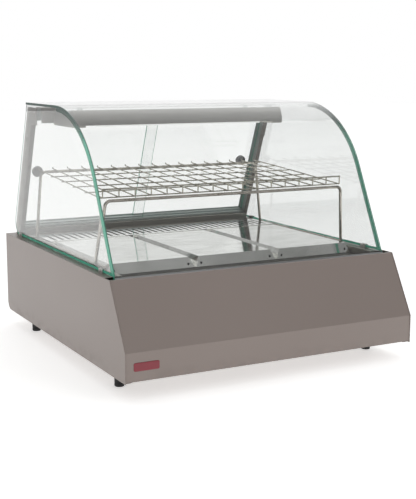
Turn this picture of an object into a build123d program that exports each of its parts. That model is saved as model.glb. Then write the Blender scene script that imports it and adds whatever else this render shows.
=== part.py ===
from build123d import *
import os
from math import atan, cos, degrees, hypot, radians, sin, tan

# Heated food display case for a counter top.
# Frame: +X is to the right seen from the customer's front, +Y is the operator's rear, +Z is up.
# The origin is on the counter, under the middle of the case. Millimetres and degrees.

# Painted base
case_width = 800
case_depth = 848
foot_height = 44
base_top = 266
crease_height = 115
slope_setback = 84
sheet = 1.5
side_sheet = 2
side_flange = 32
gap = 0.3

half_width = case_width / 2
front_y = -case_depth / 2
rear_y = case_depth / 2
slope_top_y = front_y + slope_setback
inner_half = half_width - side_sheet

# Glass dome: straight front, one bend, flat top
glass_top = 645
glass_thick = 6
bend_radius = 287
bend_end_y = 43
glass_rear_y = 276
front_angle = 63.7
glass_foot_z = 258
glass_half = 380
side_glass_thick = 4.6
side_glass_foot_z = 268
side_glass_gap = 0.6

# Rear plane of the sliding doors, which leans forward as it rises
lean = degrees(atan(0.385))
lean_foot_y = 408
lean_foot_z = 290
post_outer = 371
post_width = 12
post_depth = 42
track_depth = 34
frame_top = 632

# Deck
ledge_top = 250
deck_top = 276
plate_pitch = 236
plate_foot_width = 232
plate_slope = 12
plate_front_y = -219
plate_rear_y = 168
vent_front_y = 172
vent_rear_y = 289
vent_top = 275
vent_half = 351
vent_slots = 34
vent_pitch = 20
sill_front_y = 292
sill_half = 365.5
sill_strip_top = 270.5
riser_y = 352
riser_half = 358.5
sill_top = 284.5

# Sliding doors: depths are measured inwards from the posts' rear face
door_thick = 5
door_overlap = 26
door_end = 368
outer_pane_depth = 4
inner_pane_depth = 21
pane_foot = 9
pane_head = 357
pull_height = 457
pull_x = 331
pull_radius = 15
pull_thick = 10

# Wire shelf and its stand
stand_radius = 4
runner_radius = 4.4
stand_foot_x = 359
stand_top_x = 341
stand_foot_z = base_top + runner_radius + gap
front_foot_y = -163
front_bar = (-180, 424)
rear_foot_y = 264
rear_bar = (268, 454)
wire_radius = 1.6
picket_count = 17
picket_half = 344.5
guard = (-170, 451)

# Canopy over the display
canopy_half = 316
canopy_front_y = 92
canopy_rear_y = 229
canopy_foot_z = 590
canopy_end_width = 31
beam_half = 349
diffuser_half = 250
lamp_y = 150
lamp_z = 606
lamp_half = 274.5

# Operator's controls on the rear panel
control_z = 160
thermostat_x = -250
power_switch_x = -170
light_switch_x = -130
pilot_x = -95
inlet_x = 270
inlet_z = 110
panel_y = rear_y - sheet
knob_radius = 19
knob_height = 11
shaft_radius = 3
rocker_tilt = 10

# Heating below the deck
element_z = 226
element_radius = 4
well_foot = 190
duct_foot = 205
fan_y = 230.5
fan_size = 120
fan_depth = 38

# Feet
foot_x = 358
foot_y = (-293, 298)
foot_radius = 12
stud_radius = 4


def block(x0, x1, y0, y1, z0, z1):
    """A box between two corners."""
    middle = Pos((x0 + x1) / 2, (y0 + y1) / 2, (z0 + z1) / 2)
    return middle * Box(abs(x1 - x0), abs(y1 - y0), abs(z1 - z0))


def round_bar(start, end, radius):
    """A straight round rod between two points."""
    line = Line(start, end)
    return sweep(Plane(line @ 0, z_dir=line % 0) * Circle(radius), path=line)


def bent_bar(points, bend, radius):
    """A round rod with straight runs and rounded bends."""
    path = FilletPolyline(*points, radius=bend)
    return sweep(Plane(path @ 0, z_dir=path % 0) * Circle(radius), path=path)


def along_x(face, x0, x1):
    """A face drawn in (y, z), extruded from x0 to x1."""
    return Pos(x0, 0, 0) * extrude(Plane.YZ * face, x1 - x0)


def section(points, x0, x1):
    """A closed outline of (y, z) points, extruded from x0 to x1."""
    return along_x(make_face(Polyline(*points, close=True)), x0, x1)


def folded(points, thick, x0, x1):
    """Bent sheet: an open line of (y, z) points, thickened on its right-hand side."""
    last = len(points) - 1
    inner = []
    for index, (y, z) in enumerate(points):
        normals = []
        for start in (index - 1, index):
            if 0 <= start < last:
                run_y = points[start + 1][0] - points[start][0]
                run_z = points[start + 1][1] - points[start][1]
                length = hypot(run_y, run_z)
                normals.append((run_z / length, -run_y / length))
        normal_y = sum(n[0] for n in normals) / len(normals)
        normal_z = sum(n[1] for n in normals) / len(normals)
        mitre = thick / (normal_y**2 + normal_z**2)
        inner.append((y + normal_y * mitre, z + normal_z * mitre))
    return section(points + inner[::-1], x0, x1)


def other_side(shape):
    """The same shape on the other side of the case."""
    return mirror(shape, about=Plane.YZ)


def group(shapes):
    """Separate solids kept together."""
    return Compound(children=list(shapes))


def screw(head_radius, head_height, shank_radius, shank_length):
    """Cross-head screw: the head stands on +Z from the origin, the shank runs down -Z."""
    head = Pos(0, 0, head_height / 2) * Cylinder(head_radius, head_height)
    head = fillet(head.edges().sort_by(Axis.Z)[-1], head_height * 0.6)
    cross = Box(head_radius * 1.1, 0.8, head_height) + Box(0.8, head_radius * 1.1, head_height)
    shank = Pos(0, 0, -shank_length / 2) * Cylinder(shank_radius, shank_length)
    return head + shank - Pos(0, 0, head_height) * cross


# Rear face of the posts: local x is X, local y climbs the lean, local z goes into the case.
lean_plane = Plane(
    origin=(0, lean_foot_y, lean_foot_z),
    x_dir=(1, 0, 0),
    z_dir=(0, -cos(radians(lean)), -sin(radians(lean))),
)


def lean_block(x0, x1, low, high, near, far):
    """A box in the leaning plane: low to high up the lean, near to far into the case."""
    return lean_plane * block(x0, x1, low, high, near, far)


def lean_y(z, depth=0):
    """Y of the leaning plane at height z, a given depth inside the posts' rear face."""
    return lean_foot_y - (z - lean_foot_z) * tan(radians(lean)) - depth / cos(radians(lean))


def slab(z0, z1):
    """Everything between two heights, for trimming leaning parts level."""
    return block(-half_width, half_width, -case_depth, case_depth, z0, z1)


# Front glass: its straight part climbs along glass_run, and glass_out points out of the case.
glass_run = (cos(radians(front_angle)), sin(radians(front_angle)))
glass_out = (-glass_run[1], glass_run[0])
bend_centre = (bend_end_y, glass_top - bend_radius)
glass_foot_y = (
    bend_centre[0]
    + glass_out[0] * bend_radius
    - (bend_centre[1] + glass_out[1] * bend_radius - glass_foot_z) / tan(radians(front_angle))
)


def front_line(inset, foot_z):
    """Edges of the front glass's profile at an inset from its outer face, foot to rear top."""
    radius = bend_radius - inset
    tangent_y = bend_centre[0] + glass_out[0] * radius
    tangent_z = bend_centre[1] + glass_out[1] * radius
    foot_y = tangent_y - (tangent_z - foot_z) / tan(radians(front_angle))
    straight = Line((foot_y, foot_z), (tangent_y, tangent_z))
    bend = CenterArc(bend_centre, radius, 90, front_angle)
    return straight, bend


def at_foot(along, out):
    """A (y, z) point measured from the front glass's foot, along it and out of its outer face."""
    return (
        glass_foot_y + glass_run[0] * along + glass_out[0] * out,
        glass_foot_z + glass_run[1] * along + glass_out[1] * out,
    )


# ------------------------------------------------------------------ painted base


def side_panel():
    """Right-hand cheek: a flat skin with flanges folded in at its top, back and foot."""
    corner = 25
    outline = Polyline(
        (rear_y, base_top),
        (slope_top_y, base_top),
        (front_y, crease_height),
        (front_y, foot_height),
        (rear_y, foot_height),
        close=True,
    )
    face = make_face(outline)
    low_corner = face.vertices().sort_by(Axis.Y)[:2].sort_by(Axis.X)[-1]
    skin = along_x(fillet(low_corner, corner), inner_half, half_width)
    flange_in = inner_half - side_flange
    back_y = panel_y - gap
    top = block(flange_in, inner_half, slope_top_y + 34, back_y, base_top - sheet, base_top)
    tab_in = inner_half - 16
    back = block(tab_in, inner_half, back_y - sheet, back_y, foot_height + corner, base_top)
    foot = block(
        tab_in, inner_half, front_y + 6, rear_y - corner, foot_height, foot_height + sheet
    )
    panel = skin + top + back + foot
    for x, z in panel_screw_places():
        if x > 0:
            panel -= Pos(x, back_y, z) * Rot(90, 0, 0) * Cylinder(2.2, 8)
    return panel


def front_panel():
    """Customer's face: upright band, crease, long slope and a narrow top edge turned down."""
    face_y = front_y + 1
    edge_y = slope_top_y + 7
    half = inner_half - gap
    points = [
        (face_y, foot_height + 4),
        (face_y, crease_height),
        (slope_top_y + 0.6, base_top - 0.6),
        (edge_y, base_top - 0.6),
        (edge_y, ledge_top + 2),
    ]
    return folded(points, sheet, -half, half)


def badge():
    """Plain oblong plate on the upright band."""
    centre_x = -347
    centre_z = 81
    face = Plane.XZ.offset(-front_y) * Pos(centre_x, centre_z) * RectangleRounded(64, 20, 4)
    return extrude(face, -1)


def base_pan():
    """Bottom tray with upturned edges, stud holes and a field of air holes."""
    half = inner_half - gap
    front = front_y + 5
    rear = panel_y - 2 * gap - sheet
    low = foot_height + sheet + gap
    pan = block(-half, half, front, rear, low, low + 22)
    pan -= block(
        -half + sheet, half - sheet, front + sheet, rear - sheet, low + sheet, low + 23
    )
    for x, y in foot_places():
        pan -= Pos(x, y, low) * Cylinder(stud_radius + 0.5, 10)
    for column in range(-4, 5):
        for row in range(4):
            pan -= Pos(column * 34, 180 + row * 34, low) * Cylinder(5, 10)
    return pan


def rear_panel():
    """Operator's panel with cut-outs for the controls, the inlet and the cooling slots."""
    half = inner_half - gap
    panel = block(-half, half, panel_y, rear_y, foot_height + 4, base_top - 0.6)
    across = Rot(90, 0, 0)
    panel -= Pos(thermostat_x, panel_y, control_z) * across * Cylinder(shaft_radius + 1, 10)
    panel -= Pos(pilot_x, panel_y, control_z) * across * Cylinder(6.3, 10)
    for x in (power_switch_x, light_switch_x):
        panel -= Pos(x, panel_y, control_z) * Box(13.6, 10, 19.6)
    panel -= Pos(inlet_x, panel_y, inlet_z) * Box(28.6, 10, 22.6)
    for index in range(16):
        slot = extrude(SlotOverall(46, 5), 5, both=True)
        panel -= Pos(20 + index * 13, panel_y, 190) * Rot(90, 0, 0) * Rot(0, 0, 90) * slot
    for x, z in panel_screw_places():
        panel -= Pos(x, panel_y, z) * across * Cylinder(2.2, 10)
    return panel


def panel_screw_places():
    """Screws that hold the rear panel to the cheeks' flanges."""
    inset = inner_half - 8
    return [(side * inset, z) for side in (-1, 1) for z in (90, 160, 230)]


def panel_screws():
    """Cross-head screws of the rear panel."""
    fixing = screw(3.8, 2, 1.9, 8)
    return group(Pos(x, rear_y, z) * Rot(-90, 0, 0) * fixing for x, z in panel_screw_places())


# ------------------------------------------------------------------ feet


def foot_places():
    """The four feet, near the corners of the bottom tray."""
    return [(side * foot_x, y) for y in foot_y for side in (-1, 1)]


def foot(x, y):
    """Screw-in foot: a plastic cup with a stud that turns in a nut on the tray."""
    top = foot_height + sheet
    cup = Pos(0, 0, top / 2) * Cylinder(foot_radius, top)
    cup = chamfer(cup.edges().sort_by(Axis.Z)[0], 1.5)
    groove = Pos(0, 0, 9) * (Cylinder(foot_radius + 1, 2) - Cylinder(foot_radius - 1.2, 2))
    stud = Pos(0, 0, top + 9) * Cylinder(stud_radius, 18)
    return Pos(x, y, 0) * (cup - groove + stud)


def foot_nuts():
    """Weld nuts on the bottom tray."""
    low = foot_height + sheet + gap + sheet
    nut = extrude(RegularPolygon(7.5, 6), 6.5) - Cylinder(stud_radius + 0.06, 20)
    return group(Pos(x, y, low) * nut for x, y in foot_places())


# ------------------------------------------------------------------ deck


def plate_centres():
    """X of the three heated plates."""
    return [-plate_pitch, 0, plate_pitch]


def deck_frame():
    """Sheet frame that carries the plates, open under each plate and under the vent."""
    half = inner_half - 3
    front = slope_top_y + 9
    rear = panel_y - 10
    frame = block(-half, half, front, rear, ledge_top - sheet, ledge_top)
    frame += block(-half, half, front, front + sheet, ledge_top - 22, ledge_top)
    frame += block(-half, half, rear - sheet, rear, ledge_top - 22, ledge_top)
    for x in plate_centres():
        frame -= block(x - 100, x + 100, -195, 145, ledge_top - 5, ledge_top + 5)
    frame -= block(-335, 335, 180, 282, ledge_top - 5, ledge_top + 5)
    return frame


def side_rails():
    """A rail on each side of the plates, level with the cheeks' top flanges."""
    outer = inner_half - side_flange - gap
    inner = vent_half + 3
    front = slope_top_y + 34
    rail = block(inner, outer, front, sill_front_y - 1, ledge_top, base_top)
    rail -= block(
        inner + sheet, outer - sheet, front - 1, sill_front_y, ledge_top - 1, base_top - sheet
    )
    return group([rail, other_side(rail)])


def frustum(width, front, rear, low, high, inset):
    """A block whose four sides slope inwards by the inset as they rise."""
    middle = (front + rear) / 2
    foot = Pos(0, middle, low) * Rectangle(width, rear - front)
    head = Pos(0, middle, high) * Rectangle(width - 2 * inset, rear - front - 2 * inset)
    return loft([foot, head])


def deck_plate(x):
    """Heated plate: an upturned pan with sloping sides and two finger holes in its front."""
    low = ledge_top + gap
    wall = 1.7
    plate = frustum(plate_foot_width, plate_front_y, plate_rear_y, low, deck_top, plate_slope)
    plate -= frustum(
        plate_foot_width - 2 * wall,
        plate_front_y + wall,
        plate_rear_y - wall,
        low,
        deck_top - sheet,
        plate_slope - 0.6,
    )
    for side in (-1, 1):
        hole = Pos(side * (plate_foot_width / 2 - 16), plate_front_y, low + 9) * Rot(90, 0, 0)
        plate -= hole * Cylinder(3, 24)
    return Pos(x, 0, 0) * plate


def vent_grille():
    """Slotted strip behind the plates, with flanges down to the frame."""
    front = vent_front_y + 0.4
    low = ledge_top + gap
    strip = block(-vent_half, vent_half, front, vent_rear_y, low, vent_top)
    strip -= block(
        -vent_half - 1, vent_half + 1, front + sheet, vent_rear_y - sheet, low - 1, vent_top - sheet
    )
    middle = (front + vent_rear_y) / 2
    for index in range(vent_slots):
        x = (index - (vent_slots - 1) / 2) * vent_pitch
        slot = extrude(SlotOverall(92, 8), 5, both=True)
        strip -= Pos(x, middle, vent_top) * Rot(0, 0, 90) * slot
    return strip


def rear_sill():
    """Strip behind the vent that steps up into the sill of the lower door track."""
    low = base_top + gap
    rear = panel_y - 1
    points = [
        (sill_front_y, ledge_top + 2),
        (sill_front_y, sill_strip_top),
        (riser_y, sill_strip_top),
        (riser_y, sill_top),
        (rear, sill_top),
        (rear, low),
    ]
    sill = folded(points, sheet, -sill_half, sill_half)
    corner = block(riser_half, half_width, riser_y - gap, case_depth, ledge_top, case_width)
    return sill - corner - other_side(corner)


# ------------------------------------------------------------------ glass


def curved_glass():
    """Front and top in one bent pane."""
    outer_straight, outer_bend = front_line(0, glass_foot_z)
    inner_straight, inner_bend = front_line(glass_thick, glass_foot_z)
    top_inner = glass_top - glass_thick
    edges = [
        outer_straight,
        outer_bend,
        Line((bend_end_y, glass_top), (glass_rear_y, glass_top)),
        Line((glass_rear_y, glass_top), (glass_rear_y, top_inner)),
        Line((glass_rear_y, top_inner), (bend_end_y, top_inner)),
        inner_bend,
        inner_straight,
        Line(inner_straight @ 0, outer_straight @ 0),
    ]
    return along_x(make_face(edges), -glass_half, glass_half)


def side_glass():
    """Right-hand pane, cut to the inside of the bent pane and the lean of the doors."""
    inset = glass_thick + side_glass_gap
    straight, bend = front_line(inset, side_glass_foot_z)
    top = glass_top - inset
    rear_top = (lean_y(top) - 3, top)
    rear_foot = (lean_y(side_glass_foot_z) - 3, side_glass_foot_z)
    edges = [
        straight,
        bend,
        Line((bend_end_y, top), rear_top),
        Line(rear_top, rear_foot),
        Line(rear_foot, straight @ 0),
    ]
    face = make_face(edges)
    low_rear = face.vertices().sort_by(Axis.X)[-1]
    face = fillet(low_rear, 36)
    return along_x(face, glass_half - side_glass_thick, glass_half)


def glass_channel():
    """Channel along the foot of the bent pane."""
    wall = 2
    outer = [
        at_foot(-wall - gap, -glass_thick - wall - gap),
        at_foot(9, -glass_thick - wall - gap),
        at_foot(9, wall + gap),
        at_foot(-wall - gap, wall + gap),
    ]
    slot = [
        at_foot(-gap, -glass_thick - gap),
        at_foot(20, -glass_thick - gap),
        at_foot(20, gap),
        at_foot(-gap, gap),
    ]
    return section(outer, -glass_half, glass_half) - section(slot, -half_width, half_width)


def clip_places():
    """The two clips on each side pane."""
    return [(side, y) for side in (-1, 1) for y in (-246, 345)]


def glass_clips():
    """Small slotted feet that hold the side panes."""
    middle = glass_half - side_glass_thick / 2
    clip = block(middle - 5.7, middle + 5.7, -11, 11, base_top, base_top + 10)
    slot = side_glass_thick / 2 + 0.2
    clip -= block(
        middle - slot, middle + slot, -12, 12, side_glass_foot_z - 0.2, base_top + 11
    )
    clip -= Pos(middle + 6, 0, base_top + 6) * Rot(0, 90, 0) * Cylinder(2, 7)
    clips = []
    for side, y in clip_places():
        shape = Pos(0, y, 0) * clip
        clips.append(shape if side > 0 else other_side(shape))
    return group(clips)


def clip_studs():
    """Clamping screws of the clips."""
    face_x = glass_half - side_glass_thick / 2 + 5.7
    stud = screw(3.6, 2.4, 1.8, 2.8)
    studs = []
    for side, y in clip_places():
        shape = Pos(face_x, y, base_top + 6) * Rot(0, 90, 0) * stud
        studs.append(shape if side > 0 else other_side(shape))
    return group(studs)


def glass_pads():
    """Soft pads between the bent pane and what it rests on."""
    pad = Pos(0, 0, (glass_top - glass_thick + frame_top) / 2)
    disc = Cylinder(7, glass_top - glass_thick - frame_top)
    places = [(side * 290, y) for side in (-1, 1) for y in (108, 246)]
    return group(Pos(x, y, 0) * pad * disc for x, y in places)


# ------------------------------------------------------------------ rear frame and doors


def rear_post():
    """Right-hand leaning channel that the doors close into, standing on the cheek."""
    inner = post_outer - post_width
    high = 500
    post = lean_block(inner, post_outer, -60, high, 0, post_depth)
    post -= lean_block(inner - 1, post_outer - 2, -61, high + 1, 2, post_depth - 2)
    return post & slab(base_top + gap, frame_top)


def door_track(low, high, rib_low, rib_high, plate_low, plate_high):
    """Three ribs with two running grooves between them, trimmed level at top and foot."""
    half = post_outer - post_width - 0.4
    ribs = [(0, 2.5), (11, 19), (28.5, track_depth)]
    track = block(
        -half, half, lean_y(plate_low, track_depth), lean_y(plate_high), plate_low, plate_high
    )
    for near, far in ribs:
        track += lean_block(-half, half, rib_low, rib_high, near, far) & slab(low, high)
    return track


def door_track_bottom():
    """Lower track on the sill."""
    low = sill_top + gap
    return door_track(low, low + 100, -40, pane_foot + 4, low, low + 2)


def door_track_top():
    """Upper track under the top beam."""
    high = frame_top - sheet - gap
    return door_track(high - 100, high, pane_head - 16, pane_head + 40, high - 2, high)


def door(x0, x1, depth):
    """Toughened pane with its edges eased."""
    pane = lean_block(x0, x1, pane_foot, pane_head, depth, depth + door_thick)
    return chamfer(pane.edges().filter_by(Axis.X), 0.6)


def door_pull(x, depth):
    """Round finger pull stuck to a pane's outer face."""
    climb = (pull_height - lean_foot_z) / cos(radians(lean))
    pull = Pos(0, 0, -pull_thick / 2) * Cylinder(pull_radius, pull_thick)
    pull = fillet(pull.edges().sort_by(Axis.Z)[0], 2)
    pull -= Pos(0, 0, -pull_thick) * Cylinder(pull_radius - 4, 5)
    return lean_plane * Pos(x, climb, depth) * pull


def post_bracket():
    """Right-hand plate that ties the post to the top beam and steps down along the post."""
    low = 586
    tail = 535
    points = [
        (202, frame_top - 1),
        (202, low),
        (lean_y(low, post_depth), low),
        (lean_y(tail, post_depth), tail),
        (lean_y(tail, 4), tail),
        (lean_y(frame_top - 1, 4), frame_top - 1),
    ]
    plate = section(points, post_outer + gap, post_outer + gap + sheet)
    for y, z in bracket_screw_places():
        plate -= Pos(post_outer, y, z) * Rot(0, 90, 0) * Cylinder(1.8, 8)
    return plate


def bracket_screw_places():
    """Two screws into the post and one into the beam's tab."""
    return [(lean_y(621, 24), 621), (lean_y(555, 24), 555), (218, 621)]


def bracket_screws():
    """Low screws through both brackets."""
    fixing = screw(3.2, 1.4, 1.5, 1.4)
    screws = []
    for y, z in bracket_screw_places():
        shape = Pos(post_outer + gap + sheet, y, z) * Rot(0, 90, 0) * fixing
        screws += [shape, other_side(shape)]
    return group(screws)


def top_beam():
    """Folded beam over the upper track, with a tab at each end for the bracket."""
    front = canopy_rear_y + 0.5
    points = [(front, canopy_foot_z), (front, frame_top), (lean_y(frame_top) - 2, frame_top)]
    beam = folded(points, sheet, -beam_half, beam_half)
    tab = block(beam_half - 20, post_outer, 208, front + 1, frame_top - sheet, frame_top)
    tab += block(post_outer - sheet, post_outer, 208, front + 1, frame_top - 22, frame_top)
    return beam + tab + other_side(tab)


# ------------------------------------------------------------------ canopy and lamp


def canopy_face(inset):
    """Cross-section of the canopy, drawn in by an inset."""
    front_foot = (canopy_front_y - 14, canopy_foot_z)
    front_top = (canopy_front_y, frame_top)
    bulge = (canopy_front_y - 9, (canopy_foot_z + frame_top) / 2 + 4)
    edges = [
        Line((canopy_rear_y, canopy_foot_z), (canopy_rear_y, frame_top)),
        Line((canopy_rear_y, frame_top), front_top),
        ThreePointArc(front_top, bulge, front_foot),
        Line(front_foot, (canopy_rear_y, canopy_foot_z)),
    ]
    face = make_face(edges)
    return offset(face, -inset, kind=Kind.INTERSECTION) if inset else face


def canopy_housing():
    """Bent housing with a bowed front, open below between two lips."""
    shell = along_x(canopy_face(0), -canopy_half, canopy_half)
    shell -= along_x(canopy_face(sheet), -canopy_half - 1, canopy_half + 1)
    foot = canopy_foot_z
    return shell - block(-400, 400, canopy_front_y, canopy_rear_y - 12, foot - 1, foot + 3)


def canopy_end():
    """Right-hand end block, with a lip that stands a little below the housing."""
    inner = canopy_half - canopy_end_width
    foot = canopy_foot_z
    body = along_x(canopy_face(sheet + gap), inner, canopy_half)
    neck = block(inner, canopy_half, canopy_front_y + 2, canopy_rear_y - 14, foot - 2, foot + 4)
    lip = block(inner, canopy_half, canopy_front_y - 12, canopy_rear_y - 4, foot - 5, foot - gap)
    return body + neck + lip


def lamp_reflector():
    """Bent reflector over the lamp."""
    half = canopy_half - canopy_end_width - gap
    foot = canopy_foot_z + 8
    head = frame_top - 6
    points = [(lamp_y - 48, foot), (lamp_y - 34, head), (lamp_y + 34, head), (lamp_y + 48, foot)]
    return folded(points, 0.8, -half, half)


def lamp_tube():
    """Straight lamp with two contact pins at each end."""
    tube = Rot(0, 90, 0) * Cylinder(8, 2 * lamp_half)
    for side in (-1, 1):
        for rise in (-3, 3):
            tube += Pos(side * (lamp_half + 2.5), 0, rise) * Rot(0, 90, 0) * Cylinder(1.2, 6)
    return Pos(0, lamp_y, lamp_z) * tube


def lamp_holders():
    """Holders at both ends of the lamp."""
    low = lamp_half + gap
    high = canopy_half - canopy_end_width - gap
    holder = block(low, high, lamp_y - 11, lamp_y + 11, lamp_z - 12, lamp_z + 15)
    for rise in (-3, 3):
        holder -= Pos(low, lamp_y, lamp_z + rise) * Rot(0, 90, 0) * Cylinder(1.5, 14)
    return group([holder, other_side(holder)])


def lamp_diffuser():
    """Frosted tray that closes the canopy below the lamp."""
    front = canopy_front_y + 1
    rear = canopy_rear_y - 13
    low = canopy_foot_z - 4
    high = canopy_foot_z + 4
    tray = block(-diffuser_half, diffuser_half, front, rear, low, high)
    return tray - block(
        -diffuser_half + 2, diffuser_half - 2, front + 2, rear - 2, low + 2, high + 1
    )


# ------------------------------------------------------------------ wire shelf


def stand_hoop(foot_place_y, bar):
    """One bent rod: two legs that lean in to a level bar."""
    bar_y, bar_z = bar
    points = [
        (-stand_foot_x, foot_place_y, stand_foot_z),
        (-stand_top_x, bar_y, bar_z),
        (stand_top_x, bar_y, bar_z),
        (stand_foot_x, foot_place_y, stand_foot_z),
    ]
    return bent_bar(points, 14, stand_radius)


def shelf_stand():
    """Welded stand: a front hoop, a rear hoop and a runner along each side."""
    stand = stand_hoop(front_foot_y, front_bar) + stand_hoop(rear_foot_y, rear_bar)
    for side in (-1, 1):
        x = side * stand_foot_x
        runner = round_bar(
            (x, front_foot_y - 6, stand_foot_z), (x, rear_foot_y + 6, stand_foot_z), runner_radius
        )
        stand += runner
    return stand


def shelf_height(y):
    """Height of the long wires' centres, resting on both bars."""
    rise = (rear_bar[1] - front_bar[1]) / (rear_bar[0] - front_bar[0])
    rest = stand_radius + wire_radius + gap
    return front_bar[1] + rest + (y - front_bar[0]) * rise


def shelf_grid():
    """Welded wire shelf: long wires turned up into pickets, cross wires and a guard rail."""
    rear_end = rear_bar[0] + 14
    guard_y, guard_z = guard
    pitch = 2 * picket_half / (picket_count - 1)
    wires = []
    for index in range(picket_count):
        x = -picket_half + index * pitch
        points = [
            (x, rear_end, shelf_height(rear_end) + 4),
            (x, rear_end, shelf_height(rear_end)),
            (x, guard_y, shelf_height(guard_y)),
            (x, guard_y, guard_z),
        ]
        wires.append(bent_bar(points, 3, wire_radius))
    for index in range(6):
        y = -155 + index * 81
        z = shelf_height(y) - 2 * wire_radius + 0.5
        reach = picket_half + 3
        wires.append(round_bar((-reach, y, z), (reach, y, z), wire_radius))
    rail = round_bar(
        (-picket_half - 2, guard_y, guard_z), (picket_half + 2, guard_y, guard_z), 2
    )
    return rail.fuse(*wires)


# ------------------------------------------------------------------ heating and air


def heating_element():
    """Tubular heater bent back and forth under the plates."""
    reach = 300
    lead = 330
    rows = [-170, -90, -10, 70]
    points = [(lead, 150, element_z), (lead, rows[0], element_z)]
    for index, y in enumerate(rows):
        near = lead if index == 0 else reach
        ends = (near, -reach) if index % 2 == 0 else (-reach, reach)
        if index > 0:
            points.append((ends[0], y, element_z))
        points.append((ends[1], y, element_z))
    points.append((reach, 150, element_z))
    return bent_bar(points, 25, element_radius)


def element_brackets():
    """Two strips that hold the heater off the well."""
    high = element_z - element_radius - gap
    low = well_foot + sheet
    strip = block(-8, 8, -190, 90, high - sheet, high)
    strip += block(-8, 8, -190, -190 + sheet, low, high)
    strip += block(-8, 8, 90 - sheet, 90, low, high)
    return group(Pos(x, 0, 0) * strip for x in (-180, 180))


def open_box(half, front, rear, low, high):
    """Sheet box open at the top."""
    box = block(-half, half, front, rear, low, high)
    inner = half - sheet
    return box - block(-inner, inner, front + sheet, rear - sheet, low + sheet, high + 1)


def heat_well():
    """Box round the heater, hung below the deck frame."""
    return open_box(347, plate_front_y, plate_rear_y + 2, well_foot, ledge_top - sheet - gap)


def air_duct():
    """Box below the vent, with the fan's opening in its floor."""
    duct = open_box(347, 174, 288, duct_foot, ledge_top - sheet - gap)
    return duct - Pos(0, fan_y, duct_foot) * Cylinder(fan_size / 2 - 4, 10)


def fan_frame():
    """Square frame with a round throat, spokes and a cup for the rotor's shaft."""
    high = duct_foot - gap
    low = high - fan_depth
    frame = block(-fan_size / 2, fan_size / 2, -fan_size / 2, fan_size / 2, low, high)
    frame -= Pos(0, 0, low + fan_depth / 2) * Cylinder(fan_size / 2 - 3, fan_depth + 2)
    for x in (-52, 52):
        for y in (-52, 52):
            frame -= Pos(x, y, low) * Cylinder(2.2, 100)
    spoke = block(-2.5, 2.5, 0, fan_size / 2 - 1, low, low + 4)
    for index in range(3):
        frame += Rot(0, 0, index * 120) * spoke
    frame += Pos(0, 0, low + 3) * Cylinder(20, 6)
    frame -= Pos(0, 0, low + 6) * Cylinder(1.56, 8)
    return Pos(0, fan_y, 0) * frame


def fan_rotor():
    """Hub, shaft and seven pitched blades."""
    low = duct_foot - gap - fan_depth + 6.5
    hub = Pos(0, 0, low + 13) * Cylinder(19, 26)
    hub = fillet(hub.edges().sort_by(Axis.Z)[-1], 4)
    rotor = hub + Pos(0, 0, low - 1) * Cylinder(1.5, 6)
    blade = Pos(36, 0, low + 13) * Rot(38, 0, 0) * Box(37, 30, 2)
    for index in range(7):
        rotor += Rot(0, 0, index * 360 / 7) * blade
    return Pos(0, fan_y, 0) * rotor


# ------------------------------------------------------------------ controls


def thermostat_body():
    """Thermostat behind the panel, with a bore for the shaft."""
    body = block(-20, 20, panel_y - 40, panel_y - gap, -17, 17)
    body -= Pos(0, panel_y - 16, 0) * Rot(90, 0, 0) * Cylinder(shaft_radius + 0.06, 40)
    return Pos(thermostat_x, 0, control_z) * body


def thermostat_knob():
    """Knob with a pointer ridge on the thermostat's shaft."""
    knob = Cylinder(knob_radius, knob_height)
    knob = fillet(knob.edges().sort_by(Axis.Z)[-1], 2)
    for index in range(24):
        rib = Pos(knob_radius, 0, -2) * Cylinder(0.9, knob_height - 3)
        knob -= Rot(0, 0, index * 15) * rib
    knob += Pos(0, knob_radius / 2, knob_height / 2) * Box(3, knob_radius - 4, 1.6)
    shaft_length = 34
    knob += Pos(0, 0, -knob_height / 2 - shaft_length / 2) * Cylinder(shaft_radius, shaft_length)
    middle = rear_y + 0.6 + knob_height / 2
    return Pos(thermostat_x, middle, control_z) * Rot(-90, 0, 0) * knob


def switch_housings():
    """Two identical rocker switch bodies."""
    body = Pos(0, panel_y - 9, 0) * Box(13, 21, 19)
    body += Pos(0, rear_y + 0.8, 0) * Box(16, 1.6, 22)
    body -= Pos(0, panel_y - 1, 0) * Box(11.6, 16, 17.6)
    body -= Pos(0, rear_y - 4, 0) * Rot(0, 90, 0) * Cylinder(1.06, 12.6)
    return group(Pos(x, 0, control_z) * body for x in (power_switch_x, light_switch_x))


def rocker(x):
    """Rocker on its pins, at rest in its off position."""
    pivot_y = rear_y - 4
    outline = [(-3, -7.2), (-3, 7.2), (6, 7.2), (4.6, 0), (6, -7.2)]
    key = section(outline, -5.5, 5.5) + Rot(0, 90, 0) * Cylinder(1, 12.2)
    return Pos(x, pivot_y, control_z) * Rot(-rocker_tilt, 0, 0) * key


def pilot_lamp():
    """Round indicator lens with its body."""
    lens = Pos(0, 0, -10) * Cylinder(6, 20) + Pos(0, 0, 0.8) * Cylinder(7.6, 1.6)
    dome = Pos(0, 0, 2.6) * Cylinder(5.6, 2.4)
    dome = fillet(dome.edges().sort_by(Axis.Z)[-1], 1.8)
    return Pos(pilot_x, rear_y, control_z) * Rot(-90, 0, 0) * (lens + dome)


def power_inlet():
    """Appliance inlet with three blades in its recess."""
    inlet = Pos(0, 0, -12) * Box(28, 22, 24) + Pos(0, 0, 1) * Box(36, 28, 2)
    inlet -= Pos(0, 0, -7) * Box(24.4, 17, 20)
    for x, y in ((-7, -3), (7, -3), (0, 3)):
        inlet += Pos(x, y, -11) * Box(2, 4.4, 14)
    return Pos(inlet_x, rear_y, inlet_z) * Rot(-90, 0, 0) * inlet


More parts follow.
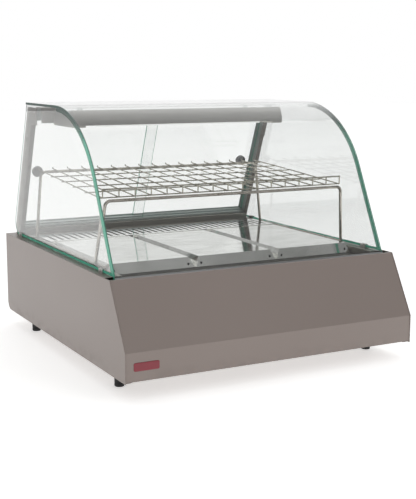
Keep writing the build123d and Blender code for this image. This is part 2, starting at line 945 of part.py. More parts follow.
def build_parts():
    """Every piece of the case by its node name."""
    pane_split = door_overlap / 2
    parts = {
        "side_panel_right": side_panel(),
        "side_panel_left": other_side(side_panel()),
        "front_panel": front_panel(),
        "badge": badge(),
        "base_pan": base_pan(),
        "rear_panel": rear_panel(),
        "panel_screws": panel_screws(),
        "foot_nuts": foot_nuts(),
        "deck_frame": deck_frame(),
        "side_rails": side_rails(),
        "vent_grille": vent_grille(),
        "rear_sill": rear_sill(),
        "curved_glass": curved_glass(),
        "side_glass_right": side_glass(),
        "side_glass_left": other_side(side_glass()),
        "glass_channel": glass_channel(),
        "glass_clips": glass_clips(),
        "clip_studs": clip_studs(),
        "glass_pads": glass_pads(),
        "rear_post_right": rear_post(),
        "rear_post_left": other_side(rear_post()),
        "door_track_bottom": door_track_bottom(),
        "door_track_top": door_track_top(),
        "door_left": door(-door_end, pane_split, inner_pane_depth),
        "door_right": door(-pane_split, door_end, outer_pane_depth),
        "door_pull_left": door_pull(-pull_x, inner_pane_depth),
        "door_pull_right": door_pull(pull_x, outer_pane_depth),
        "post_bracket_right": post_bracket(),
        "post_bracket_left": other_side(post_bracket()),
        "bracket_screws": bracket_screws(),
        "top_beam": top_beam(),
        "canopy_housing": canopy_housing(),
        "canopy_end_right": canopy_end(),
        "canopy_end_left": other_side(canopy_end()),
        "lamp_reflector": lamp_reflector(),
        "lamp_tube": lamp_tube(),
        "lamp_holders": lamp_holders(),
        "lamp_diffuser": lamp_diffuser(),
        "shelf_stand": shelf_stand(),
        "shelf_grid": shelf_grid(),
        "heating_element": heating_element(),
        "element_brackets": element_brackets(),
        "heat_well": heat_well(),
        "air_duct": air_duct(),
        "fan_frame": fan_frame(),
        "fan_rotor": fan_rotor(),
        "thermostat_body": thermostat_body(),
        "thermostat_knob": thermostat_knob(),
        "switch_housings": switch_housings(),
        "power_rocker": rocker(power_switch_x),
        "light_rocker": rocker(light_switch_x),
        "pilot_lamp": pilot_lamp(),
        "power_inlet": power_inlet(),
    }
    foot_names = ("front_left", "front_right", "rear_left", "rear_right")
    for name, (x, y) in zip(foot_names, foot_places()):
        parts[f"foot_{name}"] = foot(x, y)
    for name, x in zip(("left", "centre", "right"), plate_centres()):
        parts[f"deck_plate_{name}"] = deck_plate(x)
    return parts


def main():
    os.makedirs("parts", exist_ok=True)
    for name, shape in build_parts().items():
        export_step(shape, f"parts/{name}.step")


main()
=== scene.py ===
import math

import bmesh
import bpy
from mathutils import Matrix, Vector


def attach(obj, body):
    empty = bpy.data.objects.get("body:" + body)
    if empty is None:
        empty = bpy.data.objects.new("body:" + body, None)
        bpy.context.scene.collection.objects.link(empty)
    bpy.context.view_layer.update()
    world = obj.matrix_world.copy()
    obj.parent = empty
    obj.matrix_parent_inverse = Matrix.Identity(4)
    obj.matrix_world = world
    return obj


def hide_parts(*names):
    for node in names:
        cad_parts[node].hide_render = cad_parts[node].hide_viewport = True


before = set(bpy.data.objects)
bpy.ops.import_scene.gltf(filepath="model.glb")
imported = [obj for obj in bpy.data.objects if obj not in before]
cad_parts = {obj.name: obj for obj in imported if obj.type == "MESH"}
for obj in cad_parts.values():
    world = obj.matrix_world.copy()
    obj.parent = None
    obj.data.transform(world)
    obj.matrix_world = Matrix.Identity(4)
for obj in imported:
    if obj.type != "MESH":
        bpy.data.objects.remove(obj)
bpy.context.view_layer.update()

scene = bpy.context.scene
scene.view_settings.view_transform = "Standard"  # the paint and the steel keep their own greys


# camera: a long lens, a little above the glass, on the customer's left

cameraSet = {
    "place": (-1.2979, -2.4814, 0.7460),
    "turn": 28.25,
    "down": 10.003,
    "roll": 0.206,
    "lens": 75.36,
}


def makeCamera(c):
    data = bpy.data.cameras.new("camera")
    data.lens = c["lens"]
    data.sensor_width = 36
    data.clip_start = 0.05
    data.clip_end = 60
    camera = bpy.data.objects.new("camera", data)
    scene.collection.objects.link(camera)
    aim = Matrix.Rotation(math.radians(-c["turn"]), 4, "Z")
    aim = aim @ Matrix.Rotation(math.radians(90 - c["down"]), 4, "X")
    aim = aim @ Matrix.Rotation(math.radians(c["roll"]), 4, "Z")
    camera.matrix_world = Matrix.Translation(c["place"]) @ aim
    scene.camera = camera


makeCamera(cameraSet)
print("camera set")


# shader nodes

def shade(red, green, blue):  # an 0 to 255 screen colour as Blender's linear one
    parts = [v / 255 for v in (red, green, blue)]
    linear = [((part + 0.055) / 1.055) ** 2.4 if part > 0.04 else part / 12.92 for part in parts]
    return (*linear, 1)


class Val:  # one socket, which can stand in a sum

    def __init__(self, tree, socket):
        self.tree = tree
        self.socket = socket

    def maths(self, operation, first, second=0.0):
        return self.tree.node("Math", {"operation": operation}, {0: first, 1: second})

    def __add__(self, other):
        return self.maths("ADD", self, other)

    def __radd__(self, other):
        return self.maths("ADD", other, self)

    def __sub__(self, other):
        return self.maths("SUBTRACT", self, other)

    def __rsub__(self, other):
        return self.maths("SUBTRACT", other, self)

    def __mul__(self, other):
        return self.maths("MULTIPLY", self, other)

    def __rmul__(self, other):
        return self.maths("MULTIPLY", other, self)

    def __truediv__(self, other):
        return self.maths("DIVIDE", self, other)

    def __pow__(self, other):
        return self.maths("POWER", self, other)

    def __abs__(self):
        return self.maths("ABSOLUTE", self)

    def most(self, other):
        return self.maths("MAXIMUM", self, other)

    def least(self, other):
        return self.maths("MINIMUM", self, other)

    def fade(self, start, end, low=0.0, high=1.0):  # low up to start, high from end on
        values = {"Value": self, "From Min": start, "From Max": end, "To Min": low, "To Max": high}
        return self.tree.node("MapRange", {"interpolation_type": "SMOOTHSTEP"}, values)


class Tree:  # the nodes of one finish, or of the room

    def __init__(self, data):
        data.use_nodes = True
        self.data = data
        self.nodes = data.node_tree.nodes
        self.links = data.node_tree.links
        self.nodes.clear()

    def node(self, kind, settings=None, values=None, output=0):
        made = self.nodes.new("ShaderNode" + kind)
        for name, value in (settings or {}).items():
            if name == "stops":
                ramp = made.color_ramp.elements
                while len(ramp) < len(value):
                    ramp.new(1)
                for stop, (where, colour) in zip(ramp, value):
                    stop.position = where
                    stop.color = colour
            else:
                setattr(made, name, value)
        for name, value in (values or {}).items():
            if isinstance(value, Val):
                self.links.new(value.socket, made.inputs[name])
            else:
                made.inputs[name].default_value = value
        return Val(self, made.outputs[output])

    def mix(self, first, second, factor, blend="MIX"):
        settings = {"data_type": "RGBA", "blend_type": blend}
        return self.node("Mix", settings, {0: factor, 6: first, 7: second}, 2)

    def axis(self, place, name):
        return self.node("SeparateXYZ", None, {0: place}, "xyz".index(name))

    def turned(self, place, scale, angles=(0, 0, 0)):
        turn = [math.radians(angle) for angle in angles]
        return self.node("Mapping", None, {"Vector": place, "Rotation": turn, "Scale": scale})

    def noise(self, place, scale, detail=2.0, rough=0.5, distort=0.0):
        values = {"Vector": place, "Scale": scale, "Detail": detail}
        values.update({"Roughness": rough, "Distortion": distort})
        return self.node("TexNoise", None, values)

    def cells(self, place, scale):
        return self.node("TexVoronoi", {"feature": "F1"}, {"Vector": place, "Scale": scale})

    def bump(self, height, strength, depth, under=None):
        values = {"Height": height, "Strength": strength, "Distance": depth}
        if under:
            values["Normal"] = under
        return self.node("Bump", None, values)

    def edges(self, radius):  # 1 on sharp corners, and the rounded normal
        soft = self.node("Bevel", {"samples": 4}, {"Radius": radius})
        flat = self.node("NewGeometry", None, None, "Normal")
        even = self.node("VectorMath", {"operation": "DOT_PRODUCT"}, {0: soft, 1: flat}, 1)
        return (1 - even).fade(0.02, 0.22), soft


class Finish(Tree):  # a material on object coordinates

    def __init__(self, name):
        super().__init__(bpy.data.materials.new(name))
        self.place = self.node("TexCoord", None, None, "Object")

    def end(self, **values):
        names = {name.replace("_", " "): value for name, value in values.items()}
        self.out(self.node("BsdfPrincipled", None, names))

    def out(self, surface, volume=None):
        values = {"Surface": surface}
        if volume:
            values["Volume"] = volume
        self.nodes.new("ShaderNodeOutputMaterial")
        end = self.nodes[-1]
        for name, value in values.items():
            self.links.new(value.socket, end.inputs[name])


# room: white backdrop and floor, a big soft light each side, a darker studio behind the camera

roomSet = {
    "view": (0.47, 0.88),
    "backdrop": 1.0,
    "studio": 0.16,
    "sides": 0.5,
    "ceiling": 0.8,
    "floorGlow": 0.58,
    "floor": (238, 238, 237),
    "floorHalf": 14,
}


def makeRoom(c):
    world = bpy.data.worlds.new("room")
    scene.world = world
    tree = Tree(world)
    place = tree.node("TexCoord", None, None, "Generated")
    x, y, z = [tree.axis(place, name) for name in "xyz"]
    facing = x * c["view"][0] + y * c["view"][1]
    towards = facing.fade(-0.15, 0.35)  # 1 on the case's far side, 0 behind the camera
    behind = (facing / (x * x + y * y) ** 0.5).fade(0.78, 0.92)  # 1 straight behind the case
    level = c["studio"] + towards * (c["sides"] - c["studio"])
    level = level + behind * (c["backdrop"] - c["sides"])
    strength = level + z.fade(0.35, 0.9) * (1 - towards) * (c["ceiling"] - c["studio"])
    light = tree.node("Background", None, {"Color": (1, 1, 1, 1), "Strength": strength})
    tree.nodes.new("ShaderNodeOutputWorld")
    tree.links.new(light.socket, tree.nodes[-1].inputs["Surface"])


def makeFloor(c):
    bm = bmesh.new()
    bmesh.ops.create_grid(bm, x_segments=8, y_segments=8, size=c["floorHalf"])
    mesh = bpy.data.meshes.new("floor")
    bm.to_mesh(mesh)
    bm.free()
    floor = bpy.data.objects.new("floor", mesh)
    scene.collection.objects.link(floor)
    f = Finish("pale floor")
    cloud = f.noise(f.place, 1.5, 3)
    grit = f.noise(f.place, 220, 2)
    tone = f.mix(shade(*c["floor"]), shade(246, 246, 246), cloud)
    lit = f.node("Emission", None, {"Color": tone, "Strength": c["floorGlow"]})
    values = {"Base Color": tone, "Roughness": 0.75, "Normal": f.bump(grit, 0.1, 0.0002)}
    skin = f.node("BsdfPrincipled", None, values)
    f.out(f.node("AddShader", None, {0: skin, 1: lit}))
    mesh.materials.append(f.data)


lightSet = {
    "left": ((-3.0, -1.2, 1.7), 1.8, 6.5),
    "right": ((1.6, -3.2, 2.2), 1.8, 19),
    "above": ((0.2, 0.4, 3.2), 2.6, 6),
}


def makeLights(c):
    for name, (place, width, power) in c.items():
        data = bpy.data.lights.new(name + " soft light", "AREA")
        data.size = width
        data.energy = power
        lamp = bpy.data.objects.new(name + " soft light", data)
        scene.collection.objects.link(lamp)
        lamp.location = place
        lamp.visible_glossy = False  # steel and glass mirror the plain room alone
        lamp.visible_transmission = False
        lamp.rotation_mode = "QUATERNION"
        lamp.rotation_quaternion = (Vector((0, 0, 0.3)) - Vector(place)).to_track_quat("-Z", "Y")


makeRoom(roomSet)
makeFloor(roomSet)
makeLights(lightSet)
print("room, floor and lights made")


# finishes

leanedAngle = math.atan(0.385)  # how far the rear frame leans

# steel inside the base: duller, and darker than the steel outside as painted shade for the parts under
# the deck
dullShadedSteelSet = {"colour": (104, 101, 94), "grain": (84, 81, 75), "rough": 0.42}
rodColours = {"colour": (196, 189, 180), "dull": (150, 142, 130)}
trackSet = {"colour": (222, 232, 229), "line": (200, 212, 208), "rough": 0.36}
litSet = {"colour": (246, 247, 246), "aged": (238, 239, 237), "rough": 0.34}

paintSet = {
    "colour": (146, 134, 128),
    "shadeColour": (139, 127, 121),
    "chip": (168, 158, 152),
    "worn": (172, 165, 160),
    "dust": (128, 119, 114),
    "dustFade": (0.044, 0.085),
    "rough": 0.36,
}


def makePaint(name, c):  # baked enamel on folded sheet: faint orange peel, softened folds, worn corners
    f = Finish(name)
    worn, soft = f.edges(0.0016)
    cloud = f.noise(f.place, 2.3, 3)
    peel = f.noise(f.place, 420, 2, 0.45)
    fleck = f.noise(f.place, 2600, 1)
    scuff = f.noise(f.turned(f.place, (9, 9, 60)), 6, 4, 0.6).fade(0.62, 0.74)
    height = f.axis(f.place, "z")
    dusty = f.noise(f.place, 26, 4).fade(0.42, 0.7)
    low = height.fade(*c["dustFade"], 1, 0) * dusty  # dust by the counter
    tone = f.mix(shade(*c["colour"]), shade(*c["shadeColour"]), cloud)
    tone = f.mix(tone, shade(*c["chip"]), fleck.fade(0.55, 0.8) * 0.22)
    tone = f.mix(tone, shade(*c["worn"]), worn * f.noise(f.place, 90, 3).fade(0.35, 0.7) * 0.5)
    tone = f.mix(tone, shade(*c["dust"]), low * 0.25)
    rough = c["rough"] + cloud * 0.06 + scuff * 0.1 + low * 0.12
    normal = f.bump(peel, 0.12, 0.00025, soft)
    f.end(Base_Color=tone, Roughness=rough, Normal=normal, Metallic=0.12, Coat_Weight=0.25,
          Coat_Roughness=0.22)
    return f.data


steelSet = {
    "colour": (180, 176, 168),
    "grain": (150, 146, 138),
    "rough": 0.27,
}


def makeBrushed(name, along, c):  # drawn lines along one axis, with a few longer marks
    f = Finish(name)
    worn, soft = f.edges(0.0009)
    stretch = [5 if axis == along else 700 for axis in "xyz"]
    longer = [2 if axis == along else 160 for axis in "xyz"]
    fine = f.noise(f.turned(f.place, stretch), 1, 3, 0.6)
    broad = f.noise(f.turned(f.place, longer), 1, 2, 0.5)
    cloud = f.noise(f.place, 7, 3)
    wipe = f.noise(f.turned(f.place, (3, 14, 5), (0, 0, 24)), 2, 4, 0.65, 0.6)
    tone = f.mix(shade(*c["colour"]), shade(*c["grain"]), fine * 0.6 + broad * 0.4)
    tone = f.mix(tone, shade(216, 216, 214), worn * 0.6)
    rough = c["rough"] + fine * 0.12 + wipe * 0.06 + cloud * 0.04
    normal = f.bump(fine * 0.7 + broad * 0.3, 0.18, 0.00012, soft)
    f.end(Base_Color=tone, Roughness=rough, Normal=normal, Metallic=1.0)
    return f.data


postSet = {
    "outer": (166, 159, 152),
    # inner: painted shade, the same steel darkened inside the fold
    "inner": (126, 117, 109),
    "liner": (206, 222, 219),
    "linerDepth": 0.030,
    "linerSide": 0.3692,
    "foot": (0.408, 0.290),
    "rough": 0.34,
}


def makePostSteel(name, c):  # folded post with painted shade, darker inside the fold, with a pale lining where the doors close
    f = Finish(name)
    worn, soft = f.edges(0.0009)
    x, y, z = [f.axis(f.place, axis) for axis in "xyz"]
    back = (c["foot"][0] - y) - (z - c["foot"][1]) * math.tan(leanedAngle)
    depth = back * math.cos(leanedAngle)
    grain = f.noise(f.turned(f.place, (700, 700, 5), (-math.degrees(leanedAngle), 0, 0)), 1, 3, 0.6)
    cloud = f.noise(f.place, 7, 3)
    lined = depth.fade(c["linerDepth"] - 0.0006, c["linerDepth"], 1, 0)
    lined = lined * abs(x).fade(c["linerSide"] - 0.0004, c["linerSide"], 1, 0)
    # painted shade: the inner colour takes over from 16 to 24 mm forward of the rear face
    tone = f.mix(shade(*c["outer"]), shade(*c["inner"]), depth.fade(0.016, 0.024))
    tone = f.mix(tone, shade(*c["liner"]), lined)
    tone = f.mix(tone, shade(120, 112, 104), grain * 0.22)
    tone = f.mix(tone, shade(206, 204, 198), worn * 0.5)
    rough = c["rough"] + grain * 0.12 + cloud * 0.05
    normal = f.bump(grain, 0.15, 0.0001, soft)
    f.end(Base_Color=tone, Roughness=rough, Normal=normal, Metallic=(1 - lined) * 0.3)
    return f.data


mirrorSet = {
    "colour": (232, 232, 229),
    "haze": (214, 214, 210),
    "rough": 0.07,
}


def makeMirror(name, c):  # polished serving plates: wiping haze, hairlines, brighter folds
    f = Finish(name)
    worn, soft = f.edges(0.0012)
    haze = f.noise(f.turned(f.place, (3, 11, 3), (0, 0, 8)), 2.4, 4, 0.6, 0.8)
    hair = f.noise(f.turned(f.place, (900, 10, 60), (0, 0, 3)), 1, 3, 0.6)
    hairAcross = f.noise(f.turned(f.place, (700, 9, 60), (0, 0, -38)), 1, 2, 0.6).fade(0.66, 0.74)
    spots = f.cells(f.place, 70).fade(0.05, 0.12, 1, 0) * f.noise(f.place, 9, 2).fade(0.5, 0.65)
    tone = f.mix(shade(*c["colour"]), shade(*c["haze"]), haze.fade(0.35, 0.7))
    tone = f.mix(tone, shade(176, 170, 158), spots * 0.3)
    rough = c["rough"] + haze.fade(0.4, 0.75) * 0.07 + hairAcross * 0.1 + spots * 0.15
    normal = f.bump(hair, 0.05, 0.00005, soft)
    f.end(Base_Color=tone, Roughness=rough, Normal=normal, Metallic=1.0)
    return f.data


wireSet = {
    "colour": (184, 180, 166),
    "dull": (128, 122, 106),
    "rough": 0.15,
}


def makeChromeWire(name, c):  # plated wire: bright, with duller, tinted patches near the welds
    f = Finish(name)
    patch = f.noise(f.place, 34, 3, 0.6).fade(0.45, 0.72)
    pits = f.noise(f.place, 1500, 2)
    drawn = f.noise(f.turned(f.place, (40, 900, 900)), 1, 2)
    tone = f.mix(shade(*c["colour"]), shade(*c["dull"]), patch * 0.7)
    rough = c["rough"] + patch * 0.12 + drawn * 0.05
    normal = f.bump(pits * 0.5 + drawn * 0.5, 0.12, 0.00006)
    f.end(Base_Color=tone, Roughness=rough, Normal=normal, Metallic=1.0)
    return f.data


glassSet = {
    "absorb": (0.62, 0.80, 0.74, 1),
    "density": 4.0,
    "smear": 0.012,
    "clear": 0.9,
    "green": (62, 150, 124),
    # deep: painted shade, the darker green of the cut edges above the shoulder
    "deep": (8, 38, 32),
    "shoulderShade": (0.55, 0.61),
    "foot": 0.2735,
    "cut": "x",
}


bendShape = {
    "centre": (0.043, 0.358),  # y and z of the bend's axis
    "climb": math.radians(63.7),  # of the straight part below the bend
    "reach": (0.2712, 0.2722),  # from the axis, over which the green sets in
}


def bendGreen(f, c, y, z):  # green seen inside a side pane, close to the bent pane
    outY = -math.sin(c["climb"])
    outZ = math.cos(c["climb"])
    back = y - c["centre"][0]
    up = z - c["centre"][1]
    straight = (back * outY + up * outZ).fade(*c["reach"])
    bent = ((back * back + up * up) ** 0.5).fade(*c["reach"])
    pastStraight = (back * outZ - up * outY).fade(0, 0.001)
    beforeTop = y.fade(0.03, c["centre"][0], 1, 0)
    return (straight * 0.8).most(bent * pastStraight * beforeTop * 0.8)


def cutEdge(f, c):  # 1 on a pane's cut edges; a side pane also shows green inside its front and foot
    across = abs(f.axis(f.node("NewGeometry", None, None, "Normal"), "x"))
    if c["cut"] == "x":
        return across.fade(0.45, 0.55)
    y = f.axis(f.place, "y")
    z = f.axis(f.place, "z")
    broken = f.noise(f.turned(f.place, (1, 30, 160)), 1, 3, 0.6).fade(0.34, 0.52)
    low = z.fade(c["foot"], c["foot"] + 0.0012, 1, 0) * (0.35 + broken * 0.6)
    return across.fade(0.45, 0.55, 1, 0).most(low).most(bendGreen(f, bendShape, y, z))


def makeGlass(name, c):  # clear float glass, green where it is cut, with wiping smears; the green cut edges carry a painted glow and painted shade above the shoulder
    f = Finish(name)
    smear = f.noise(f.turned(f.place, (3, 3, 9), (20, 35, 10)), 3, 4, 0.6, 0.7).fade(0.5, 0.8)
    wave = f.noise(f.place, 5, 1)
    clean = [c["clear"] + part for part in (0, 0.005, 0.002)]
    smeared = [c["clear"] * part for part in (0.98, 0.985, 0.982)]
    tint = f.mix((*clean, 1), (*smeared, 1), smear)
    clear = f.node("BsdfPrincipled", None, {
        "Base Color": tint,
        "Roughness": smear * c["smear"],
        "IOR": 1.52,
        "Specular IOR Level": 0.22,
        "Transmission Weight": 1.0,
        "Normal": f.bump(wave, 0.02, 0.0002),
    })
    depth = f.node("VolumeAbsorption", None, {"Color": c["absorb"], "Density": c["density"]})
    streak = f.noise(f.turned(f.place, (1, 60, 60)), 1, 3, 0.6)
    # painted shade: the green cut edge turns deeper above the shoulder height
    shoulderShade = f.axis(f.place, "z").fade(*c["shoulderShade"])
    darker = (streak.fade(0.4, 0.8) * 0.3 + shoulderShade * 0.9).least(1)
    green = f.mix(shade(*c["green"]), shade(*c["deep"]), darker)
    # painted light: the green cut edge glows faintly through its emission, though the glass is no lamp
    greenEdgeWithPaintedGlow = f.node("BsdfPrincipled", None, {
        "Base Color": green,
        "Roughness": 0.12 + streak * 0.1,
        "Emission Color": green,
        "Emission Strength": 0.35,
        "Normal": f.bump(streak, 0.1, 0.0001),
    })
    f.out(f.node("MixShader", None, {0: cutEdge(f, c), 1: clear, 2: greenEdgeWithPaintedGlow}), depth)
    return f.data


alloySet = {"colour": (186, 187, 188), "line": (150, 151, 152), "rough": 0.33}


def makeAlloy(name, c, metal=1.0):  # drawn aluminium section
    f = Finish(name)
    worn, soft = f.edges(0.0007)
    line = f.noise(f.turned(f.place, (4, 520, 520)), 1, 3, 0.5)
    cloud = f.noise(f.place, 11, 3)
    tone = f.mix(shade(*c["colour"]), shade(*c["line"]), line.fade(0.35, 0.75))
    tone = f.mix(tone, shade(214, 214, 214), worn * 0.5)
    rough = c["rough"] + line * 0.1 + cloud * 0.06
    f.end(Base_Color=tone, Roughness=rough, Normal=f.bump(line, 0.2, 0.0001, soft), Metallic=metal)
    return f.data


fixingSet = {"colour": (206, 205, 201), "recess": (96, 94, 90), "rough": 0.22}


def makeFixing(name, c):  # plated screws, studs and clips
    f = Finish(name)
    worn, soft = f.edges(0.0005)
    spin = f.noise(f.place, 420, 3, 0.6)
    cloud = f.noise(f.place, 60, 3)
    tone = f.mix(shade(*c["colour"]), shade(*c["recess"]), cloud.fade(0.5, 0.85) * 0.5)
    tone = f.mix(tone, shade(228, 228, 226), worn * 0.7)
    normal = f.bump(spin, 0.15, 0.00008, soft)
    f.end(Base_Color=tone, Roughness=c["rough"] + spin * 0.16, Normal=normal, Metallic=1.0)
    return f.data


plasticSet = {"colour": (24, 24, 26), "dust": (74, 73, 72), "rough": 0.46}


def makePlastic(name, c, dusty=0.16):  # moulded, finely sparked surface, dust and shine on the corners
    f = Finish(name)
    worn, soft = f.edges(0.0008)
    spark = f.noise(f.place, 1700, 2, 0.6)
    cloud = f.noise(f.place, 18, 3)
    dust = f.noise(f.place, 75, 4, 0.6).fade(0.5, 0.8)
    tone = f.mix(shade(*c["colour"]), shade(*[v * 1.35 for v in c["colour"]]), cloud)
    tone = f.mix(tone, shade(*c["dust"]), dust * dusty + worn * 0.18)
    rough = c["rough"] + spark * 0.14 + dust * 0.1
    f.end(Base_Color=tone, Roughness=rough, Normal=f.bump(spark, 0.22, 0.00012, soft))
    return f.data


badgeSet = {"colour": (142, 14, 40), "deep": (116, 8, 30), "rough": 0.28}


def makeBadgeFinish(name, c):  # printed red under clear resin
    f = Finish(name)
    worn, soft = f.edges(0.0008)
    ink = f.noise(f.place, 900, 2)
    cloud = f.noise(f.place, 45, 3)
    tone = f.mix(shade(*c["colour"]), shade(*c["deep"]), cloud * 0.6 + ink * 0.3)
    tone = f.mix(tone, shade(212, 120, 134), worn * 0.4)
    normal = f.bump(cloud, 0.06, 0.0002, soft)
    f.end(Base_Color=tone, Roughness=c["rough"] + ink * 0.1, Normal=normal, Coat_Weight=0.6,
          Coat_Roughness=0.08)
    return f.data


def makeClearPad(name):  # soft clear bumpers
    f = Finish(name)
    cloud = f.noise(f.place, 120, 3)
    tone = f.mix((0.9, 0.92, 0.92, 1), (0.78, 0.82, 0.82, 1), cloud)
    f.end(Base_Color=tone, Roughness=0.12 + cloud * 0.2, Normal=f.bump(cloud, 0.1, 0.0002),
          Transmission_Weight=0.85, IOR=1.42)
    return f.data


whiteSet = {"colour": (236, 236, 232), "aged": (214, 212, 202), "rough": 0.4}


def makeWhite(name, c, glow=0.0):  # white enamel, moulded white or lit panel
    f = Finish(name)
    worn, soft = f.edges(0.0008)
    cloud = f.noise(f.place, 14, 3)
    spark = f.noise(f.place, 800, 2)
    dust = f.noise(f.place, 60, 4, 0.6).fade(0.55, 0.85)
    tone = f.mix(shade(*c["colour"]), shade(*c["aged"]), cloud * 0.5 + dust * 0.4)
    f.end(Base_Color=tone, Roughness=c["rough"] + dust * 0.15, Normal=f.bump(spark, 0.1, 0.0001, soft),
          Emission_Color=tone, Emission_Strength=glow)
    return f.data


def makeLampGlass(name):  # opal tube, darker by its ends
    f = Finish(name)
    ends = abs(f.axis(f.place, "x")).fade(0.225, 0.272)
    cloud = f.noise(f.place, 40, 3)
    powder = f.noise(f.place, 700, 2)
    tone = f.mix(shade(246, 246, 242), shade(176, 172, 164), (ends * (0.6 + cloud * 0.4)).least(1))
    f.end(Base_Color=tone, Roughness=0.16 + powder * 0.1, Normal=f.bump(powder, 0.05, 0.00005),
          Emission_Color=tone, Emission_Strength=1.2, Coat_Weight=0.5, Coat_Roughness=0.05)
    return f.data


def makeHeaterSteel(name):  # sheathed element, blued and browned by heat
    f = Finish(name)
    heat = f.noise(f.place, 16, 3, 0.6, 0.4)
    scale = f.noise(f.place, 520, 4, 0.65)
    stops = [(0.25, shade(64, 62, 66)), (0.5, shade(104, 88, 70)), (0.75, shade(126, 124, 122))]
    tone = f.node("ValToRGB", {"stops": stops}, {0: heat})
    tone = f.mix(tone, shade(44, 40, 38), scale.fade(0.5, 0.8) * 0.6)
    normal = f.bump(scale, 0.3, 0.00015)
    f.end(Base_Color=tone, Roughness=0.42 + scale * 0.2, Normal=normal, Metallic=0.85)
    return f.data


def makeSignal(name, colour, deep, glow):  # lit switch caps and the pilot lens
    f = Finish(name)
    worn, soft = f.edges(0.0006)
    cloud = f.noise(f.place, 150, 3)
    spark = f.noise(f.place, 1400, 2)
    tone = f.mix(shade(*colour), shade(*deep), cloud * 0.6 + worn * 0.3)
    f.end(Base_Color=tone, Roughness=0.2 + spark * 0.12, Normal=f.bump(spark, 0.1, 0.00008, soft),
          Emission_Color=tone, Emission_Strength=glow, Coat_Weight=0.4, Coat_Roughness=0.1)
    return f.data


def dress(finish, *nodes):  # gives CAD nodes a better finish
    for name in nodes:
        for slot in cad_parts[name].material_slots:
            slot.material = finish


paint = makePaint("taupe enamel", paintSet)
rearPaint = makePaint("taupe enamel, rear sheets",
                      {**paintSet, "rough": 0.42, "colour": (148, 139, 134)})
steelAcross = makeBrushed("brushed steel, lines across", "x", steelSet)
postSteel = makePostSteel("post steel with a pale lining", postSet)
# painted shade: the parts inside the base get a darker copy of the brushed steel
steelDullAndShaded = makeBrushed("dull steel inside the base", "x", dullShadedSteelSet)
steelBack = makeBrushed("brushed steel, lines to the rear", "y", steelSet)
mirror = makeMirror("polished serving steel", mirrorSet)
shelfWire = makeChromeWire("plated shelf wire", wireSet)
standRod = makeChromeWire("plated stand rod", {**wireSet, **rodColours})
bentGlass = makeGlass("bent float glass", glassSet)
doorGlass = makeGlass("door float glass", {**glassSet, "clear": 0.985})
sideGlass = makeGlass("side float glass", {**glassSet, "cut": "round"})
alloy = makeAlloy("satin aluminium section", alloySet)
paleTrack = makeAlloy("pale door track", trackSet, 0.15)
fixing = makeFixing("plated fixings", fixingSet)
plastic = makePlastic("black moulded plastic", plasticSet)
whitePlastic = makeWhite("white moulded plastic", whiteSet)
whiteSheet = makeWhite("white enamelled sheet", {**whiteSet, "rough": 0.3})
litPanel = makeWhite("lit opal sheet", litSet, 0.75)
lampGlass = makeLampGlass("opal lamp tube")
heater = makeHeaterSteel("heat-tinted element")
badgeFinish = makeBadgeFinish("red badge under resin", badgeSet)
clearPad = makeClearPad("clear soft pads")
rockerRed = makeSignal("red switch caps", (186, 24, 20), (134, 10, 10), 0.12)
pilotAmber = makeSignal("amber pilot lens", (232, 128, 22), (190, 82, 8), 0.35)

dress(paint, "side_panel_left", "side_panel_right", "front_panel")
dress(rearPaint, "rear_panel", "base_pan")
dress(steelAcross, "rear_sill", "top_beam", "canopy_housing")
dress(steelDullAndShaded, "deck_frame", "heat_well", "air_duct", "element_brackets")
dress(postSteel, "rear_post_left", "rear_post_right", "post_bracket_left", "post_bracket_right")
dress(steelBack, "side_rails", "canopy_end_left", "canopy_end_right")
dress(mirror, "deck_plate_left", "deck_plate_centre", "deck_plate_right", "vent_grille")
dress(standRod, "shelf_stand")
dress(shelfWire, "shelf_grid")
dress(bentGlass, "curved_glass")
dress(doorGlass, "door_left", "door_right")
dress(sideGlass, "side_glass_left", "side_glass_right")
dress(alloy, "glass_channel")
dress(paleTrack, "door_track_bottom", "door_track_top")
dress(fixing, "panel_screws", "clip_studs", "bracket_screws", "foot_nuts", "glass_clips")
dress(plastic, "foot_front_left", "foot_front_right", "foot_rear_left", "foot_rear_right")
dress(plastic, "fan_frame", "fan_rotor", "thermostat_knob", "thermostat_body", "power_inlet")
dress(plastic, "switch_housings", "door_pull_left", "door_pull_right")
dress(whitePlastic, "lamp_holders")
dress(whiteSheet, "lamp_reflector")
dress(litPanel, "lamp_diffuser")
dress(lampGlass, "lamp_tube")
dress(heater, "heating_element")
dress(badgeFinish, "badge")
dress(clearPad, "glass_pads")
dress(rockerRed, "power_rocker", "light_rocker")
dress(pilotAmber, "pilot_lamp")
print("finishes given")


# new pieces

def finishPiece(name, bm, finish, body):  # a smooth piece that rides on a body
    bmesh.ops.remove_doubles(bm, verts=bm.verts, dist=1e-6)
    bmesh.ops.recalc_face_normals(bm, faces=bm.faces)
    mesh = bpy.data.meshes.new(name)
    bm.to_mesh(mesh)
    bm.free()
    for face in mesh.polygons:
        face.use_smooth = True
    mesh.materials.append(finish)
    piece = bpy.data.objects.new(name, mesh)
    scene.collection.objects.link(piece)
    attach(piece, body)
    return piece


badgeShape = {
    "centre": (-0.347, 0.081),
    "half": (0.032, 0.010),
    "face": -0.424,
    "thick": 0.001,
    "corner": 0.004,
    "points": 12,
    "dome": ((0, 1.0), (0, 0.45), (0.0003, 0.16), (0.0010, 0.04), (0.0024, 0.0)),
}


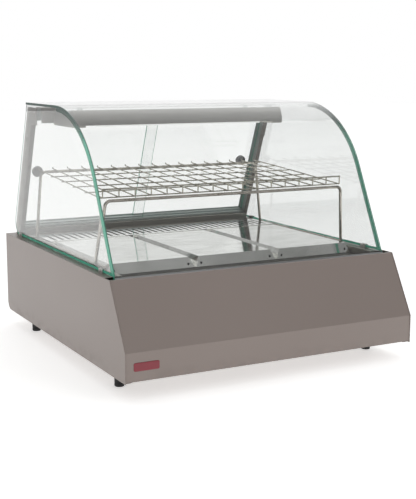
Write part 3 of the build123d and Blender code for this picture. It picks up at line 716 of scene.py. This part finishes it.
def makeBadge(c):  # oblong with its resin domed over the edges
    bm = bmesh.new()
    rings = []
    for inset, drop in c["dome"]:
        ring = []
        corner = c["corner"] - inset
        for quarter in range(4):
            sideX = 1 if quarter in (0, 3) else -1
            sideZ = 1 if quarter < 2 else -1
            for step in range(c["points"]):
                angle = (quarter + step / (c["points"] - 1)) * math.pi / 2
                x = sideX * (c["half"][0] - c["corner"]) + corner * math.cos(angle)
                z = sideZ * (c["half"][1] - c["corner"]) + corner * math.sin(angle)
                y = c["face"] + drop * c["thick"]
                ring.append(bm.verts.new((c["centre"][0] + x, y, c["centre"][1] + z)))
        rings.append(ring)
    for outer, inner in zip(rings, rings[1:]):
        for index in range(len(outer)):
            after = (index + 1) % len(outer)
            bm.faces.new((outer[index], outer[after], inner[after], inner[index]))
    bm.faces.new(rings[0])
    bm.faces.new(rings[-1])
    badge = finishPiece("domed_badge", bm, badgeFinish, "case")
    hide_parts("badge")


dialShape = {
    "centre": (-0.25, 0.16),
    "panel": 0.424,
    "reach": 0.0215,
    "ticks": 11,
    "sweep": 270,
    "size": (0.0011, 0.0042, 0.0003),
}


def makeDialTicks(c):  # raised marks round the thermostat knob, the last ones longer
    bm = bmesh.new()
    wide, tall, thick = c["size"]
    for index in range(c["ticks"]):
        angle = math.radians((index / (c["ticks"] - 1) - 0.5) * c["sweep"])
        length = tall * (1.5 if index % 5 == 0 else 1)
        move = Matrix.Translation((c["centre"][0], c["panel"] + thick / 2 - 0.00001, c["centre"][1]))
        turn = Matrix.Rotation(angle, 4, "Y") @ Matrix.Translation((0, 0, c["reach"] + length / 2))
        grow = Matrix.Diagonal((wide, thick, length, 1))
        made = bmesh.ops.create_cube(bm, size=1, matrix=move @ turn @ grow)
        edges = {edge for vert in made["verts"] for edge in vert.link_edges}
        bmesh.ops.bevel(bm, geom=list(edges), offset=0.0001, affect="EDGES", segments=2,
                        profile=0.5, material=-1)
    finishPiece("dial_marks", bm, whitePlastic, "case")


makeBadge(badgeShape)
makeDialTicks(dialShape)
print("pieces made")
